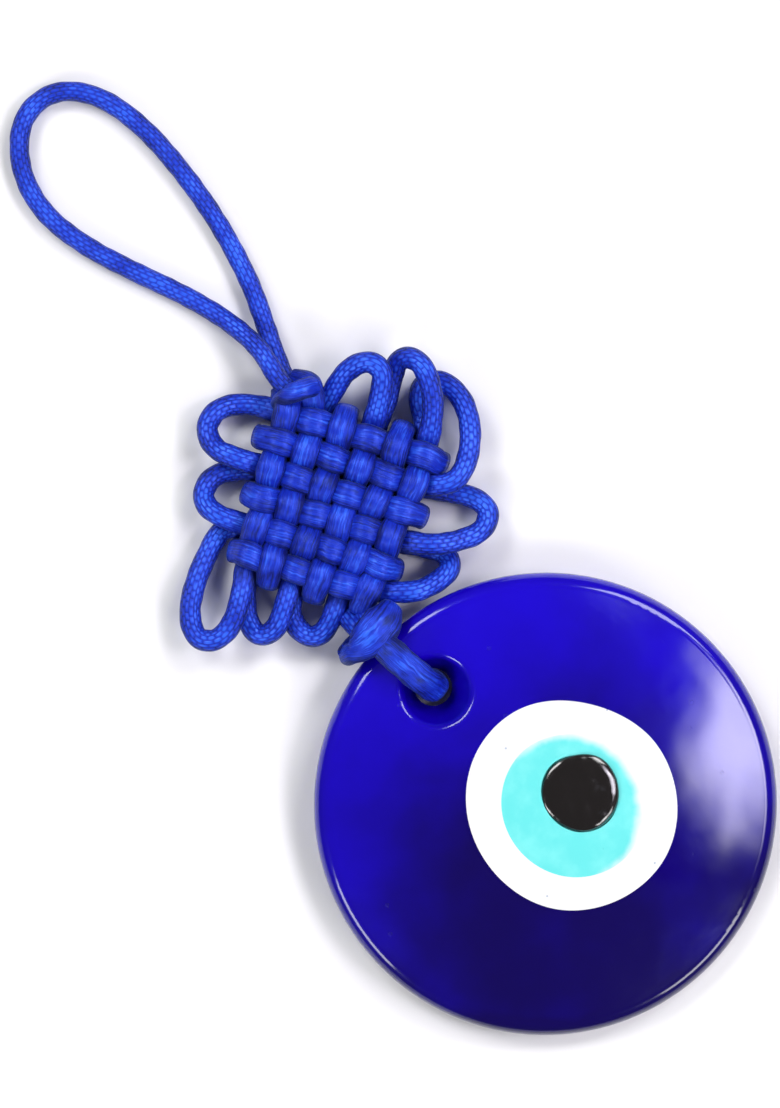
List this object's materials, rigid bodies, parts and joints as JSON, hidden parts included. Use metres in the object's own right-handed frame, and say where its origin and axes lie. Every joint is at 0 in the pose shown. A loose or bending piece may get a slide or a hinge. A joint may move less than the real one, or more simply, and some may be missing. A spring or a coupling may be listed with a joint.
{
  "type": "evil eye ornament",
  "caption": "Round glass eye charm with a domed face, hung by a cord through its hole from a woven endless knot with eared edges and a long hanging loop.",
  "frame": {"origin": "centre of the glass disc's flat back", "axes": "+Y from the disc's centre through its hole towards the hanging loop, +Z out of the disc's face, +X to the right; the ornament lies on a table"},
  "size_m": [0.06, 0.1425, 0.011],
  "materials": {
    "cobalt_glass": "glossy cast glass",
    "white_glass": "glossy opaque glass",
    "turquoise_glass": "glossy opaque glass",
    "black_glass": "glossy opaque glass",
    "satin_cord": "satin braid"
  },
  "bodies": {
    "knot": {"row_1": "satin_cord", "row_2": "satin_cord", "row_3": "satin_cord", "row_4": "satin_cord", "row_5": "satin_cord", "row_6": "satin_cord", "column_1": "satin_cord", "column_2": "satin_cord", "column_3": "satin_cord", "column_4": "satin_cord", "column_5": "satin_cord", "column_6": "satin_cord", "upper_left_ear_1": "satin_cord", "upper_left_ear_2": "satin_cord", "left_corner_ear": "satin_cord", "lower_left_ear_1": "satin_cord", "lower_left_ear_2": "satin_cord", "lower_right_ear_1": "satin_cord", "lower_right_ear_2": "satin_cord", "right_corner_ear": "satin_cord", "upper_right_ear_1": "satin_cord", "upper_right_ear_2": "satin_cord", "upper_knot": "satin_cord", "neck": "satin_cord"},
    "hanging_loop": {"hanging_loop": "satin_cord"},
    "disc_loop": {"lower_knot": "satin_cord", "disc_loop": "satin_cord"},
    "disc": {"glass_disc": "cobalt_glass", "white_eye": "white_glass", "turquoise_iris": "turquoise_glass", "black_pupil": "black_glass"}
  },
  "joints": [
    {"name": "hanging_loop_fold", "type": "hinge", "parent": "knot", "child": "hanging_loop", "pos_m": [0.0135, 0.0638, 0.00221], "axis": [1, 0, 0], "range_deg": [-90, 120]},
    {"name": "disc_fold", "type": "hinge", "parent": "knot", "child": "disc_loop", "pos_m": [-0.0009, 0.03165, 0.00446], "axis": [-1, 0, 0], "range_deg": [-18, 85]},
    {"name": "disc_swing", "type": "hinge", "parent": "disc_loop", "child": "disc", "pos_m": [0, 0.02097, 0.00114], "axis": [0, -0.0544, 0.9985], "range_deg": [-10, 2]}
  ]
}
